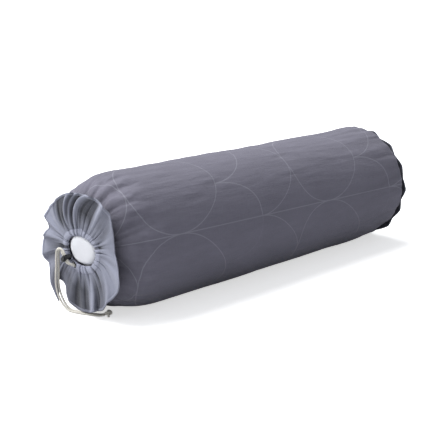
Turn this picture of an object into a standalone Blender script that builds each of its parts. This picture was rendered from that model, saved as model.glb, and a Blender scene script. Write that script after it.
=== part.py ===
"""A bedding bolster: a stuffed inner bolster in a removable cover whose two ends are gathered by drawstrings.

The bolster lies along X, with its open, corded end at -X. Z = 0 is the surface that it rests on.
"""

from math import cos, pi, radians, sin, tau

import bmesh
import bpy
from mathutils import Matrix, Vector

# Bolster, in metres
BODY_RADIUS = 0.1175
HEM_TO_HEM = 0.757
REST_FLAT_DEPTH = 0.004
FACE_SETBACK = 0.008
SHOULDER_POWER = 2.4
NEAR_SHOULDER = 0.055
FAR_SHOULDER = 0.045

# Layers, from the outside in
COVER_WALL = 0.0012
CASING_WALL = 0.001
LAYER_GAP = 0.0004
SEAM_INSET = 0.0175
SEAM_BEAD = 0.00045
BULGE_HEIGHT = 0.006
BULGE_CLEARANCE = 0.0006

# Drawstring channel and its eyelet
MOUTH_RADIUS = 0.028
CHANNEL_WIDTH = 0.012
CHANNEL_WALL = 0.0009
TUNNEL_CLEARANCE = 0.0005
CHANNEL_CHAMFER = 0.0016
EYELET_WALL = 0.0005
EYELET_FLANGE = 0.0018
EYELET_FLANGE_THICKNESS = 0.0006
EYELET_ANGLE = radians(-58)

# Frill
NEAR_FRILL_INSET = 0.0125
FAR_FRILL_INSET = 0.0065
FRILL_WALL = 0.0014
PLEATS = 12
PLEAT_HEIGHT = 0.005
HEM_BEAD = 0.0011

# Drawstring
CORD_DIAMETER = 0.004
CORD_SPACING = 0.0008
CORD_CLEARANCE = 0.0003
FLOOR_CLEARANCE = 0.0003
EYELET_CLEARANCE = 0.0005
KNOT_RADIUS = 0.0075

# Cord lock: its press button moves along X, and the lock slides down the two cords
LOCK_LEAN = radians(140)
LOCK_DISTANCE = 0.0148
BARREL_SIDE = 0.0025
BARREL_HEIGHT = 0.0098
BARREL_WALL = 0.0012
BARREL_FLOOR = 0.001
BARREL_FRONT = 0.0022
BUTTON_GAP = 0.0003
BUTTON_TRAVEL = 0.002
BUTTON_WEB = 0.001
BUTTON_HEAD = 0.0026
SPRING_LENGTH = 0.0034
SPRING_WIRE = 0.0004
SPRING_TURNS = 3

GAP = 0.0003
TURN_STEPS = 36
SHOULDER_STEPS = 6
BULGE_STEPS = 4

# What follows from them
AXIS_HEIGHT = BODY_RADIUS - REST_FLAT_DEPTH
FACE_DISTANCE = HEM_TO_HEM / 2 - FACE_SETBACK
SEAM_RADIUS = BODY_RADIUS - SEAM_INSET
CHANNEL_RADIUS = MOUTH_RADIUS + CHANNEL_WIDTH / 2
CHANNEL_DEPTH = CORD_DIAMETER + 2 * (TUNNEL_CLEARANCE + CHANNEL_WALL)
CORD_PITCH = CORD_DIAMETER + CORD_SPACING
CORD_SLOT = CORD_DIAMETER + 2 * CORD_CLEARANCE
BARREL_WIDTH = CORD_PITCH + CORD_SLOT + 2 * BARREL_SIDE
CASING_INSET = COVER_WALL + LAYER_GAP
FILL_INSET = CASING_INSET + CASING_WALL + LAYER_GAP
NEAR = {"side": -1, "shoulder": NEAR_SHOULDER, "frill": BODY_RADIUS - NEAR_FRILL_INSET}
FAR = {"side": 1, "shoulder": FAR_SHOULDER, "frill": BODY_RADIUS - FAR_FRILL_INSET}

COLOURS = {
    "cover_cloth": ((0.145, 0.143, 0.185), 0.85, 0.0),
    "frill_cloth": ((0.21, 0.22, 0.29), 0.85, 0.0),
    "casing_cloth": ((0.72, 0.73, 0.76), 0.9, 0.0),
    "fill": ((0.85, 0.85, 0.84), 1.0, 0.0),
    "cord_cotton": ((0.62, 0.6, 0.54), 0.9, 0.0),
    "black_plastic": ((0.012, 0.012, 0.014), 0.25, 0.0),
    "eyelet_metal": ((0.03, 0.03, 0.035), 0.3, 1.0),
    "spring_steel": ((0.5, 0.5, 0.52), 0.3, 1.0),
}


def clear_scene():
    for obj in list(bpy.data.objects):
        bpy.data.objects.remove(obj, do_unlink=True)


def material(name):
    found = bpy.data.materials.get(name)
    if found:
        return found
    colour, roughness, metallic = COLOURS[name]
    made = bpy.data.materials.new(name)
    made.use_nodes = True
    shader = made.node_tree.nodes["Principled BSDF"]
    shader.inputs["Base Color"].default_value = (*colour, 1.0)
    shader.inputs["Roughness"].default_value = roughness
    shader.inputs["Metallic"].default_value = metallic
    made.diffuse_color = (*colour, 1.0)
    return made


def place(name, mesh, material_name, location=(0, 0, AXIS_HEIGHT), parent=None):
    obj = bpy.data.objects.new(name, mesh)
    bpy.context.scene.collection.objects.link(obj)
    obj.location = location
    obj.parent = parent
    if material_name:
        mesh.materials.append(material(material_name))
    return obj


def finish_mesh(name, bm):
    bmesh.ops.remove_doubles(bm, verts=bm.verts, dist=1e-6)
    bmesh.ops.recalc_face_normals(bm, faces=bm.faces)
    mesh = bpy.data.meshes.new(name)
    bm.to_mesh(mesh)
    bm.free()
    mesh.shade_smooth()
    mesh.set_sharp_from_angle(angle=radians(35))
    return mesh


def skinned(name, loops, closed=True):
    """A solid skinned over loops with as many points each: a closed cycle of them, or a row from point to point.

    Each four-sided cell is split along the diagonal that runs towards +X, so that nested layers stay parallel.
    """
    bm = bmesh.new()
    rows = [[bm.verts.new(point) for point in loop] for loop in loops]
    pairs = list(zip(rows, rows[1:]))
    if closed:
        pairs.append((rows[-1], rows[0]))
    count = len(loops[0])
    for row, following in pairs:
        for i in range(count):
            j = (i + 1) % count
            a, b, c, d = row[i], row[j], following[j], following[i]
            cell = ((a, b, c), (a, c, d)) if a.co.x <= d.co.x else ((a, b, d), (b, c, d))
            for corners in cell:
                bm.faces.new(corners)
    return finish_mesh(name, bm)


def turned(name, outline, closed=True):
    """A solid of revolution about X, pressed flat below. outline holds (x, radius, lowest height) points."""
    loops = []
    for x, radius, lowest in outline:
        loop = []
        for i in range(TURN_STEPS):
            angle = tau * i / TURN_STEPS
            height = max(radius * sin(angle), lowest - AXIS_HEIGHT)
            loop.append((x, radius * cos(angle), height))
        loops.append(loop)
    return skinned(name, loops, closed)


def prism(name, outline, low, high):
    """An outline of (x, y) points carried from z = low to z = high."""
    bm = bmesh.new()
    base = bm.faces.new([bm.verts.new((x, y, low)) for x, y in outline])
    grown = bmesh.ops.extrude_face_region(bm, geom=[base])["geom"]
    moved = [item for item in grown if isinstance(item, bmesh.types.BMVert)]
    bmesh.ops.translate(bm, verts=moved, vec=(0, 0, high - low))
    return finish_mesh(name, bm)


def stadium(length, width, steps=6):
    """A slot outline, its long side along x."""
    radius = width / 2
    reach = length / 2 - radius
    points = []
    for end, first in ((reach, -pi / 2), (-reach, pi / 2)):
        for i in range(steps + 1):
            angle = first + pi * i / steps
            points.append((end + radius * cos(angle), radius * sin(angle)))
    return points


def cutter(name, mesh, location, parent=None, rotation=None):
    obj = place(name, mesh, None, location, parent)
    if rotation:
        obj.rotation_euler = rotation
    obj.hide_render = True
    obj.display_type = "WIRE"
    return obj


def cut(obj, tool):
    modifier = obj.modifiers.new(tool.name, "BOOLEAN")
    modifier.operation = "DIFFERENCE"
    modifier.object = tool


def bevel(obj, width, segments=2):
    modifier = obj.modifiers.new("Bevel", "BEVEL")
    modifier.width = width
    modifier.segments = segments
    modifier.limit_method = "ANGLE"


def shoulder_radius(angle, inset):
    return (BODY_RADIUS - inset) * sin(angle) ** (2 / SHOULDER_POWER)


def angle_at(radius, inset):
    """The shoulder angle where a layer reaches the given radius."""
    low, high = 0.0, pi / 2
    for _ in range(50):
        middle = (low + high) / 2
        if shoulder_radius(middle, inset) < radius:
            low = middle
        else:
            high = middle
    return low


def shoulder_point(end, angle, inset):
    """(x, radius, lowest height) on an end's shoulder: angle 0 is the face's centre, 90 degrees the full radius."""
    depth = end["shoulder"] - inset
    radius = shoulder_radius(angle, inset)
    rise = depth * max(cos(angle), 0) ** (2 / SHOULDER_POWER)
    distance = FACE_DISTANCE - end["shoulder"] + rise
    share = sin(angle) ** (2 / SHOULDER_POWER) / sin(BULGE_ANGLE) ** (2 / SHOULDER_POWER)
    if inset >= CASING_INSET and share < 1:
        distance += BULGE_HEIGHT * cos(pi / 2 * share) ** 2
    return end["side"] * distance, radius, inset


BULGE_ANGLE = angle_at(MOUTH_RADIUS - BULGE_CLEARANCE, CASING_INSET)
SEAM_ANGLES = [
    angle_at(SEAM_RADIUS + sign * (2 * GAP + SEAM_BEAD), CASING_INSET + CASING_WALL / 2)
    for sign in (-1, 1)
]


def between(low, high, steps):
    return [low + (high - low) * i / steps for i in range(1, steps)]


def stations():
    """The shoulder angles where every layer has its points, so that the layers stay parallel."""
    bulge = MOUTH_RADIUS - BULGE_CLEARANCE
    angles = [angle_at(bulge * i / BULGE_STEPS, CASING_INSET) for i in range(BULGE_STEPS + 1)]
    angles += between(angles[-1], SEAM_ANGLES[0], SHOULDER_STEPS // 2)
    angles += [SEAM_ANGLES[0], SEAM_ANGLES[1]]
    angles += between(SEAM_ANGLES[1], pi / 2, SHOULDER_STEPS // 2)
    return [*angles, pi / 2]


def layer_line(end, inset, first=0.0, last=pi / 2):
    """One layer's outline over an end, from the angle first out to the angle last."""
    inner = [angle for angle in stations() if first < angle < last]
    return [shoulder_point(end, angle, inset) for angle in (first, *inner, last)]


def sleeve_outline(outer, inner, first):
    """A tube wall's outline: out along the outer layer from end to end, and back along the inner one."""
    there = layer_line(NEAR, outer, first(outer)) + layer_line(FAR, outer, first(outer))[::-1]
    back = layer_line(FAR, inner, first(inner)) + layer_line(NEAR, inner, first(inner))[::-1]
    return there + back


def inner_bolster():
    outer, inner = CASING_INSET, CASING_INSET + CASING_WALL
    tube = sleeve_outline(outer, inner, lambda inset: SEAM_ANGLES[1])
    place("inner_casing", turned("inner_casing", tube), "casing_cloth")

    for end, name in ((NEAR, "near"), (FAR, "far")):
        dome = layer_line(end, outer, last=SEAM_ANGLES[0])
        dish = layer_line(end, inner, last=SEAM_ANGLES[0])
        mesh = turned(f"inner_end_{name}", dome + dish[::-1], False)
        place(f"inner_end_{name}", mesh, "casing_cloth")
        middle = (outer + inner) / 2
        x, radius, _ = shoulder_point(end, sum(SEAM_ANGLES) / 2, middle)
        ring = [
            (x + SEAM_BEAD * cos(tau * i / 5), radius + SEAM_BEAD * sin(tau * i / 5), 0)
            for i in range(5)
        ]
        mesh = turned(f"inner_seam_{name}", ring)
        place(f"inner_seam_{name}", mesh, "casing_cloth")

    fill = layer_line(NEAR, FILL_INSET) + layer_line(FAR, FILL_INSET)[::-1]
    place("core_fill", turned("core_fill", fill, False), "fill")


def cover_sleeve():
    outline = sleeve_outline(0, COVER_WALL, lambda inset: angle_at(CHANNEL_RADIUS, inset))
    place("cover_body", turned("cover_body", outline), "cover_cloth")


def channel_back(end):
    """How far from the middle the channel's back face lies, just in front of the cover's rim."""
    x, _, _ = shoulder_point(end, angle_at(CHANNEL_RADIUS, 0), 0)
    return abs(x) + GAP


def channel_front(end):
    return channel_back(end) + CHANNEL_DEPTH


def channel_section(end, wall, chamfer):
    """The channel's cross-section, an eight-sided ring outline set in by the wall."""
    side = end["side"]
    middle = channel_back(end) + CHANNEL_DEPTH / 2
    half_depth = CHANNEL_DEPTH / 2 - wall
    half_width = CHANNEL_WIDTH / 2 - wall
    corners = ((1, 1), (1, -1), (-1, -1), (-1, 1))
    points = []
    for index, (out, up) in enumerate(corners):
        along = (half_depth - chamfer, half_width)
        across = (half_depth, half_width - chamfer)
        for depth, width in (along, across) if index % 2 == 0 else (across, along):
            points.append((side * (middle + out * depth), CHANNEL_RADIUS + up * width, 0))
    return points


def eyelet_centre(end, distance):
    return (
        end["side"] * distance,
        CHANNEL_RADIUS * cos(EYELET_ANGLE),
        AXIS_HEIGHT + CHANNEL_RADIUS * sin(EYELET_ANGLE),
    )


def oval(grow):
    """The eyelet hole's outline, grown by a margin: both cords lie in it one above the other."""
    across = CORD_DIAMETER + 2 * EYELET_CLEARANCE + 2 * grow
    return stadium(across + CORD_PITCH, across)


def channel_and_string(end, name):
    mesh = turned(f"{name}_channel", channel_section(end, 0, CHANNEL_CHAMFER))
    channel = place(f"{name}_channel", mesh, "frill_cloth")
    hollow = turned(
        f"{name}_tunnel",
        channel_section(end, CHANNEL_WALL, CHANNEL_CHAMFER - CHANNEL_WALL / 2),
    )
    cut(channel, cutter(f"{name}_tunnel", hollow, (0, 0, AXIS_HEIGHT)))
    wall_hole = prism(f"{name}_hole", oval(EYELET_WALL + GAP), -CHANNEL_WALL * 2, CHANNEL_WALL)
    spot = eyelet_centre(end, channel_front(end))
    outward = Vector((end["side"], 0, 0))
    along_ring = Vector((0, -sin(EYELET_ANGLE), cos(EYELET_ANGLE)))
    turn = Matrix((along_ring, outward.cross(along_ring), outward)).transposed().to_euler()
    cut(channel, cutter(f"{name}_hole", wall_hole, spot, rotation=turn))

    front = GAP
    top = front + EYELET_FLANGE_THICKNESS
    bottom = -CHANNEL_WALL - GAP
    profile = (
        (EYELET_WALL, bottom),
        (EYELET_WALL, front),
        (EYELET_FLANGE, front),
        (EYELET_FLANGE - EYELET_FLANGE_THICKNESS / 2, top),
        (0, top),
        (0, bottom),
    )
    loops = [[(x, y, level) for x, y in oval(grow)] for grow, level in profile]
    eyelet = place(f"{name}_eyelet", skinned(f"{name}_eyelet", loops), "eyelet_metal", spot)
    eyelet.rotation_euler = turn

    opening = (CORD_PITCH / 2 + CORD_DIAMETER / 2 + 2 * GAP) / CHANNEL_RADIUS
    loop_middle = end["side"] * (channel_back(end) + CHANNEL_DEPTH / 2)
    steps = 28
    route = []
    for i in range(steps + 1):
        angle = EYELET_ANGLE + opening + (tau - 2 * opening) * i / steps
        y, z = CHANNEL_RADIUS * cos(angle), CHANNEL_RADIUS * sin(angle)
        route.append((loop_middle, y, AXIS_HEIGHT + z))
    cord(f"{name}_drawstring", route)


def frill(end, name):
    side = end["side"]
    root_radius = MOUTH_RADIUS + CHANNEL_WIDTH + GAP
    hem_radius = end["frill"] - HEM_BEAD
    edge_radius = hem_radius - HEM_BEAD - GAP
    root = channel_back(end) + CHANNEL_DEPTH / 2
    hem = HEM_TO_HEM / 2 - HEM_BEAD - PLEAT_HEIGHT
    count = PLEATS * 6

    def loop(radius, share, lift):
        points = []
        for i in range(count):
            angle = tau * i / count
            wave = PLEAT_HEIGHT * share**1.3 * cos(PLEATS * angle)
            distance = root + (hem - root) * share + wave + lift
            points.append((side * distance, radius * cos(angle), radius * sin(angle)))
        return points

    steps = 3
    shares = [i / steps for i in range(steps + 1)]
    radii = [root_radius + (edge_radius - root_radius) * share for share in shares]
    outward = [loop(r, s, FRILL_WALL / 2) for r, s in zip(radii, shares)]
    inward = [loop(r, s, -FRILL_WALL / 2) for r, s in zip(radii[::-1], shares[::-1])]
    place(f"{name}_frill", skinned(f"{name}_frill", outward + inward), "frill_cloth")

    bead = []
    for i in range(5):
        turn = tau * i / 5
        bead.append(loop(hem_radius + HEM_BEAD * sin(turn), 1, HEM_BEAD * cos(turn)))
    place(f"{name}_hem", skinned(f"{name}_hem", bead), "frill_cloth")


def cord(name, points, diameter=CORD_DIAMETER, resolution=2, material_name="cord_cotton", parent=None):
    """A tube along points, with flat ends."""
    curve = bpy.data.curves.new(name, "CURVE")
    curve.dimensions = "3D"
    curve.bevel_depth = diameter / 2
    curve.bevel_resolution = resolution
    curve.use_fill_caps = True
    spline = curve.splines.new("POLY")
    spline.points.add(len(points) - 1)
    for spot, point in zip(spline.points, points):
        spot.co = (*point, 1.0)
    curve.materials.append(material(material_name))
    obj = bpy.data.objects.new(name, curve)
    bpy.context.scene.collection.objects.link(obj)
    obj.parent = parent
    return obj


def smooth(points, pieces):
    """Points along a Catmull-Rom curve through the given ones."""
    knots = [Vector(point) for point in points]
    knots = [2 * knots[0] - knots[1], *knots, 2 * knots[-1] - knots[-2]]
    route = []
    for a, b, c, d in zip(knots, knots[1:], knots[2:], knots[3:]):
        for i in range(pieces):
            t = i / pieces
            route.append(
                0.5
                * (
                    2 * b
                    + (c - a) * t
                    + (2 * a - 5 * b + 4 * c - d) * t**2
                    + (3 * b - a - 3 * c + d) * t**3
                )
            )
    route.append(knots[-2])
    return route


# The line midway between the two cord tails, and which way the first tail lies from it. Each point's first number
# is its distance in front of the channel, and its second its distance along Y from the eyelet.
# Down to the end of the lock's run, the third is the height over the eyelet
TAIL_RUN = (
    ((-0.0022, 0.0000, 0.0000), (0, 0.848, 0.530)),
    ((0.0018, 0.0000, 0.0000), (0, 0.906, 0.423)),
    ((0.0060, 0.0009, 0.0011), (0, 1, 0)),
    ((0.0091, 0.0030, 0.0035), (0, 0.927, -0.375)),
    ((0.0106, 0.0055, 0.0065), (0, 0.766, -0.643)),
    ((0.0106, 0.0097, 0.0116), (0, 0.766, -0.643)),
    ((0.0106, 0.0139, 0.0166), (0, 0.766, -0.643)),
    ((0.0106, 0.0180, 0.0214), (0, 0.766, -0.643)),
)
# From there over the bend and down to the knot, it is the share of the fall to the floor that is left
TAIL_FALL = (
    ((0.0106, 0.0214, 1.023), (0.574, 0.280, -0.770)),
    ((0.0106, 0.0255, 1.027), (0.940, -0.060, -0.337)),
    ((0.0106, 0.0292, 1.010), (1, 0, 0)),
    ((0.0106, 0.0315, 0.981), (1, 0, 0)),
    ((0.0106, 0.0332, 0.910), (1, 0, 0)),
    ((0.0106, 0.0342, 0.800), (1, -0.1, 0)),
    ((0.0106, 0.0352, 0.700), (1, -0.15, 0)),
    ((0.0106, 0.0362, 0.610), (1, -0.2, 0)),
    ((0.0105, 0.0374, 0.520), (1, -0.25, 0)),
    ((0.0102, 0.0384, 0.430), (1, -0.3, 0)),
    ((0.0097, 0.0382, 0.340), (1, -0.3, 0)),
    ((0.0091, 0.0360, 0.250), (1, -0.3, 0.1)),
    ((0.0084, 0.0314, 0.160), (1, -0.25, 0.15)),
    ((0.0076, 0.0245, 0.077), (1, -0.15, 0.1)),
    ((0.0066, 0.0152, 0.020), (1, 0, 0)),
    ((0.0050, 0.0045, 0.000), (1, 0.1, 0)),
    ((0.0021, -0.0060, 0.000), (0.97, 0.25, 0)),
    ((-0.0019, -0.0160, 0.000), (0.93, 0.4, 0)),
    ((-0.0066, -0.0260, 0.000), (0.9, 0.45, 0)),
    ((-0.0117, -0.0360, 0.000), (0.9, 0.45, 0)),
    ((-0.0166, -0.0455, 0.006), (0.9, 0.4, 0)),
    ((-0.0208, -0.0525, 0.026), (0.92, 0.38, 0)),
)
TAIL_STANDOFF = TAIL_RUN[5][0][0]
KNOT_SPOT = (-0.0234, -0.0584)


def tail_line():
    front = channel_front(NEAR)
    _, eyelet_y, eyelet_z = eyelet_centre(NEAR, front)
    floor = CORD_DIAMETER / 2 + FLOOR_CLEARANCE
    run_end = eyelet_z + TAIL_RUN[-1][0][2]
    for (out, along, rise), across in TAIL_RUN:
        yield Vector((-front - out, eyelet_y + along, eyelet_z + rise)), Vector(across)
    for (out, along, share), across in TAIL_FALL:
        yield Vector((-front - out, eyelet_y + along, floor + (run_end - floor) * share)), Vector(across)


def tail_route(side):
    return [middle + side * CORD_PITCH / 2 * across.normalized() for middle, across in tail_line()]


def cord_tails():
    for name, side in (("cord_tail_left", 1), ("cord_tail_right", -1)):
        cord(name, smooth(tail_route(side), 2))
    bm = bmesh.new()
    bmesh.ops.create_icosphere(bm, subdivisions=2, radius=KNOT_RADIUS)
    bmesh.ops.scale(bm, verts=bm.verts, vec=(1, 0.85, 0.98))
    front = channel_front(NEAR)
    _, eyelet_y, _ = eyelet_centre(NEAR, front)
    out, along = KNOT_SPOT
    spot = (-front - out, eyelet_y + along, KNOT_RADIUS + FLOOR_CLEARANCE)
    place("cord_knot", finish_mesh("cord_knot", bm), "cord_cotton", spot)


def cord_lock():
    """Built with x across the cords, y down them and z out of the lock's mouth; z = 0 is the cords' level."""
    slot_width = CORD_PITCH + CORD_SLOT
    slide = Vector((0, sin(LOCK_LEAN), -cos(LOCK_LEAN)))
    across = Vector((0, cos(LOCK_LEAN), sin(LOCK_LEAN)))
    spot = Vector(eyelet_centre(NEAR, channel_front(NEAR))) + slide * LOCK_DISTANCE
    spot.x -= TAIL_STANDOFF
    carrier = bpy.data.objects.new("lock_carrier", None)
    bpy.context.scene.collection.objects.link(carrier)
    carrier.location = spot
    carrier.rotation_euler = Matrix((across, slide, Vector((-1, 0, 0)))).transposed().to_euler()

    web_end = -(CORD_SLOT / 2 + BUTTON_WEB)
    floor_top = web_end - GAP - SPRING_LENGTH - GAP
    back = floor_top - BARREL_FLOOR
    front = CORD_SLOT / 2 + BARREL_FRONT
    mesh = prism("lock_barrel", stadium(BARREL_WIDTH, BARREL_HEIGHT), back, front)
    barrel = place("lock_barrel", mesh, "black_plastic", (0, 0, 0), carrier)
    bevel(barrel, BARREL_WALL * 0.7)
    bore_width = BARREL_WIDTH - 2 * BARREL_WALL
    bore_height = BARREL_HEIGHT - 2 * BARREL_WALL
    bore = prism("lock_bore", stadium(bore_width, bore_height), floor_top, front + BARREL_WALL)
    cut(barrel, cutter("lock_bore", bore, (0, 0, 0), carrier))
    slot = box("lock_slot", slot_width, BARREL_HEIGHT * 2, -CORD_SLOT / 2, CORD_SLOT / 2)
    cut(barrel, cutter("lock_slot", slot, (0, 0, 0), carrier))

    slot_top = CORD_SLOT / 2 + BUTTON_TRAVEL
    outline = stadium(bore_width - 2 * BUTTON_GAP, bore_height - 2 * BUTTON_GAP)
    mesh = prism("lock_plunger", outline, web_end, slot_top + BUTTON_HEAD)
    plunger = place("lock_plunger", mesh, "black_plastic", (0, 0, 0), carrier)
    bevel(plunger, BUTTON_WEB * 0.6)
    slot = box("plunger_slot", slot_width, BARREL_HEIGHT * 2, -CORD_SLOT / 2, slot_top)
    cut(plunger, cutter("plunger_slot", slot, (0, 0, 0), carrier))

    coil_radius = bore_height / 2 - GAP - SPRING_WIRE
    run = SPRING_LENGTH - SPRING_WIRE
    steps = SPRING_TURNS * 12
    coil = []
    for i in range(steps + 1):
        angle = SPRING_TURNS * tau * i / steps
        height = floor_top + GAP + SPRING_WIRE / 2 + run * i / steps
        coil.append((coil_radius * cos(angle), coil_radius * sin(angle), height))
    cord("lock_spring", coil, SPRING_WIRE, 1, "spring_steel", carrier)


def box(name, width, length, low, high):
    corners = [(x * width / 2, y * length / 2) for x, y in ((-1, -1), (1, -1), (1, 1), (-1, 1))]
    return prism(name, corners, low, high)


clear_scene()
inner_bolster()
cover_sleeve()
for bolster_end, end_name in ((NEAR, "near"), (FAR, "far")):
    channel_and_string(bolster_end, end_name)
    frill(bolster_end, end_name)
cord_tails()
cord_lock()
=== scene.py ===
from functools import partial
from math import asin, cos, pi, radians, sin, tau

import bmesh
import bpy
import numpy as np
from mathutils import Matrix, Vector, noise


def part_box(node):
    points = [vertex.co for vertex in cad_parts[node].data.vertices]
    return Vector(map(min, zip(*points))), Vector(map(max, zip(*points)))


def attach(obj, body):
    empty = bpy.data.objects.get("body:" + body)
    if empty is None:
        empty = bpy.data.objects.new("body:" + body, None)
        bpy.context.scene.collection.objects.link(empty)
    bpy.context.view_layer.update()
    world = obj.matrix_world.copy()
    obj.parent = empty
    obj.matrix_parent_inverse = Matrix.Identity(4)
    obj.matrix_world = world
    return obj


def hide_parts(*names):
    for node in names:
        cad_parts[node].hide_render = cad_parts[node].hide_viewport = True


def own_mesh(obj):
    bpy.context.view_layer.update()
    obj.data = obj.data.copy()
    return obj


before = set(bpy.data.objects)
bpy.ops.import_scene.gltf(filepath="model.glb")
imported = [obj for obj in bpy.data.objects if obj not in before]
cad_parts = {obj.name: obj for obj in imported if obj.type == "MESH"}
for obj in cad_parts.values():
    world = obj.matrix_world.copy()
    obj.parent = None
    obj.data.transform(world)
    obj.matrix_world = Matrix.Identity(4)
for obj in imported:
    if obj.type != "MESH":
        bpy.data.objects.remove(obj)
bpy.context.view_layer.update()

# sizes read from the frame

coverLow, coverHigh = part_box("cover_body")
nearChannelLow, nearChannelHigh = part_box("near_channel")
farChannelLow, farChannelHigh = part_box("far_channel")
bodyRadius = (coverHigh.y - coverLow.y) / 2
axisHeight = coverHigh.z - bodyRadius
channelRadius = (nearChannelHigh.y - nearChannelLow.y) / 2 - 0.006  # less half the channel's width

nearEnd = {
    "name": "near", "side": -1, "face": -coverLow.x, "shoulder": 0.062, "power": 2 / 2.4,
    "back": -nearChannelHigh.x, "front": -nearChannelLow.x, "seed": 3.0,
}
farEnd = {
    "name": "far", "side": 1, "face": coverHigh.x, "shoulder": 0.02, "power": 2 / 2.5,
    "back": farChannelLow.x, "front": farChannelHigh.x, "seed": 11.0,
}

def setInputs(tree, node, inputs):
    # each input is either linked or given a value
    for key, value in inputs.items():
        socket = node.inputs[key]
        if isinstance(value, bpy.types.NodeSocket):
            tree.links.new(value, socket)
        elif isinstance(value, tuple) and socket.type == "RGBA":
            socket.default_value = (*value, 1.0)
        else:
            socket.default_value = value


def addNode(tree, kind, inputs=None, **settings):
    node = tree.nodes.new(kind)
    for key, value in settings.items():
        setattr(node, key, value)
    setInputs(tree, node, inputs or {})
    return node


def nodeGroup(name, inputs, outputs, kind="ShaderNodeTree"):
    group = bpy.data.node_groups.new(name, kind)
    for way, sockets in (("INPUT", inputs), ("OUTPUT", outputs)):
        for socketName, (socketKind, value) in sockets.items():
            socket = group.interface.new_socket(socketName, in_out=way, socket_type="NodeSocket" + socketKind)
            if value is not None:
                socket.default_value = value
    return group, group.nodes.new("NodeGroupInput").outputs, group.nodes.new("NodeGroupOutput")


def mathNode(tree, operation, *values, clamp=False):
    return addNode(tree, "ShaderNodeMath", dict(enumerate(values)), operation=operation, use_clamp=clamp).outputs[0]


def blendColour(tree, factor, first, second):
    return addNode(tree, "ShaderNodeMix", {0: factor, 6: first, 7: second}, data_type="RGBA").outputs[2]


def noiseNode(tree, place, scale, detail=2.0, roughness=0.5, stretch=None):
    if stretch:
        place = addNode(tree, "ShaderNodeMapping", {"Vector": place, "Scale": stretch}).outputs[0]
    inputs = {"Vector": place, "Scale": scale, "Detail": detail, "Roughness": roughness}
    return addNode(tree, "ShaderNodeTexNoise", inputs).outputs["Fac"]


def makeWeaveGroup():
    # plain weave: threads over and under each other, with uneven yarn
    group, ins, outs = nodeGroup(
        "plainWeave", {"Cloth": ("Vector", None), "Thread": ("Float", 0.0006), "Slub": ("Float", 0.5)},
        {"Height": ("Float", None), "Tone": ("Float", None)},
    )
    calc = partial(mathNode, group)
    place = addNode(group, "ShaderNodeSeparateXYZ", {0: ins["Cloth"]}).outputs
    turns = calc("DIVIDE", pi, ins["Thread"])
    warp, weft = (calc("SINE", calc("MULTIPLY", place[way], turns)) for way in (0, 1))
    ridges = calc("ADD", calc("ABSOLUTE", warp), calc("ABSOLUTE", weft))
    height = calc("ADD", calc("MULTIPLY", calc("MULTIPLY", warp, weft), 0.25), calc("MULTIPLY", ridges, 0.35))
    yarns = [noiseNode(group, ins["Cloth"], 1.0, 3.0, stretch=stretch) for stretch in ((60, 900, 60), (900, 60, 60))]
    slub = calc("MULTIPLY", calc("SUBTRACT", calc("ADD", *yarns), 1.0), ins["Slub"])
    setInputs(group, outs, {"Height": calc("ADD", height, slub), "Tone": slub})
    return group


def makeWearAndShadeGroup():
    # soft, larger differences: pressed creases and handling, with painted shade in the folds
    group, ins, outs = nodeGroup(
        "clothWearAndPaintedShade",
        {"Position": ("Vector", None), "Fold": ("Float", 0.0), "Amount": ("Float", 0.12), "Fold Shade": ("Float", 0.3)},
        {"Tone": ("Float", None), "Height": ("Float", None)},
    )
    calc = partial(mathNode, group)
    broad = noiseNode(group, ins["Position"], 9.0, 4.0)
    fine = noiseNode(group, ins["Position"], 1.0, 5.0, 0.6, stretch=(12, 70, 70))
    tone = calc("MULTIPLY", calc("SUBTRACT", calc("ADD", broad, fine), 1.0), ins["Amount"])
    # painted shade: the tone is darker where the fold attribute is high
    paintedFoldShade = calc("MULTIPLY", ins["Fold"], ins["Fold Shade"])
    setInputs(group, outs, {"Tone": calc("SUBTRACT", tone, paintedFoldShade), "Height": fine})
    return group


lineFigure = {"radius": 0.0938, "start": -0.2335, "lineWidth": 0.0017, "smallArc": (1.02, 0.8),
              "largeArc": (1.1, 1.19), "faint": 0.2}


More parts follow.
